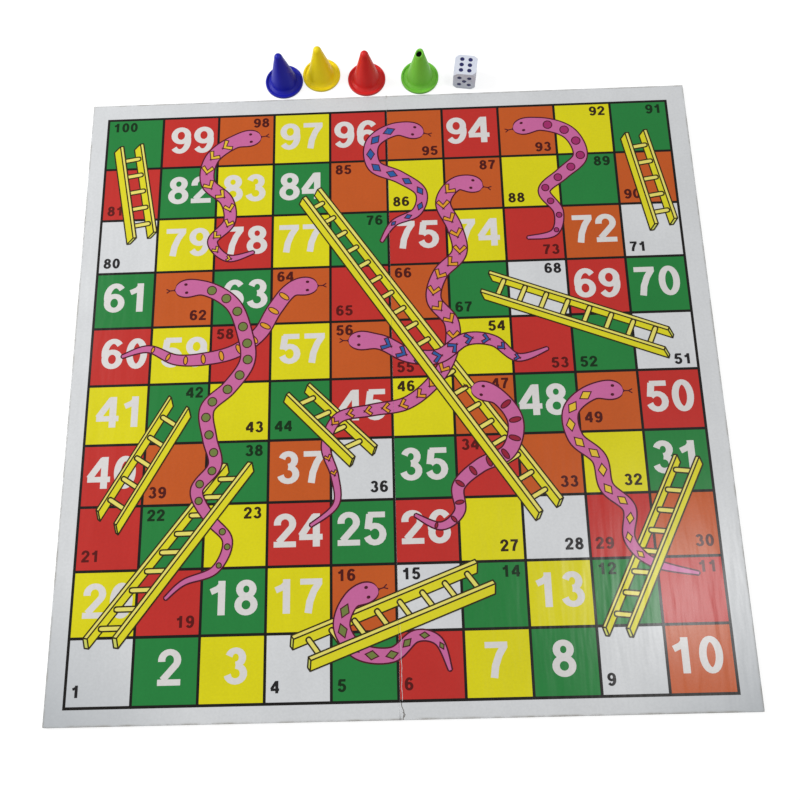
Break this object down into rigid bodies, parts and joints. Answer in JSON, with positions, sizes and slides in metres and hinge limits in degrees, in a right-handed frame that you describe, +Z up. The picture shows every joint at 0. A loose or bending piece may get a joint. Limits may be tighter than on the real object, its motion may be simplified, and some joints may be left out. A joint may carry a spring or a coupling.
{
  "type": "snakes and ladders board",
  "caption": "Square board that folds at its middle, printed with a numbered track, snakes and ladders, with cone pawns and a die standing behind it.",
  "frame": {"origin": "middle of the board's flat underside, on the line of the fold", "axes": "+X to the right across the fold, +Y along the fold to the back of the board, where the pawns and the die stand, +Z up out of the printed face"},
  "size_m": [0.3194, 0.3431, 0.023],
  "materials": {
    "greyboard": "uncoated grey-brown millboard",
    "face_paper": "coated white paper, satin",
    "lining_paper": "uncoated dark lining paper",
    "red_ink": "satin printing ink",
    "green_ink": "satin printing ink",
    "yellow_ink": "satin printing ink",
    "orange_ink": "satin printing ink",
    "black_ink": "satin printing ink",
    "pink_ink": "satin printing ink",
    "ladder_ink": "satin printing ink",
    "blue_plastic": "glossy moulded plastic",
    "yellow_plastic": "glossy moulded plastic",
    "red_plastic": "glossy moulded plastic",
    "green_plastic": "glossy moulded plastic",
    "white_plastic": "glossy moulded plastic",
    "navy_paint": "dull paint in the pips"
  },
  "bodies": {
    "left_half": {"left_board_core": "greyboard", "left_face_sheet": "face_paper", "left_back_lining": "lining_paper", "left_red_squares": "red_ink", "left_green_squares": "green_ink", "left_yellow_squares": "yellow_ink", "left_orange_squares": "orange_ink", "left_track_lines": "black_ink", "left_snakes": "pink_ink", "left_ladders": "ladder_ink", "fold_crease_strip": "face_paper"},
    "right_half": {"right_board_core": "greyboard", "right_face_sheet": "face_paper", "right_back_lining": "lining_paper", "right_red_squares": "red_ink", "right_green_squares": "green_ink", "right_yellow_squares": "yellow_ink", "right_orange_squares": "orange_ink", "right_track_lines": "black_ink", "right_snakes": "pink_ink", "right_ladders": "ladder_ink"},
    "blue_pawn": {"blue_pawn": "blue_plastic"},
    "yellow_pawn": {"yellow_pawn": "yellow_plastic"},
    "red_pawn": {"red_pawn": "red_plastic"},
    "green_pawn": {"green_pawn": "green_plastic"},
    "die": {"die": "white_plastic", "die_pip_paint": "navy_paint"}
  },
  "joints": [
    {"name": "board_fold", "type": "hinge", "parent": "left_half", "child": "right_half", "pos_m": [0, 0, 0.00225], "axis": [0, -1, 0], "range_deg": [0, 180], "deforming": ["fold_crease_strip"]},
    {"name": "blue_pawn_lift", "type": "slide", "parent": "left_half", "child": "blue_pawn", "axis": [0, 0, 1], "range_m": [0, 0.05]},
    {"name": "yellow_pawn_lift", "type": "slide", "parent": "left_half", "child": "yellow_pawn", "axis": [0, 0, 1], "range_m": [0, 0.05]},
    {"name": "red_pawn_lift", "type": "slide", "parent": "left_half", "child": "red_pawn", "axis": [0, 0, 1], "range_m": [0, 0.05]},
    {"name": "green_pawn_lift", "type": "slide", "parent": "left_half", "child": "green_pawn", "axis": [0, 0, 1], "range_m": [0, 0.05]},
    {"name": "die_lift", "type": "slide", "parent": "left_half", "child": "die", "axis": [0, 0, 1], "range_m": [0, 0.05]}
  ]
}
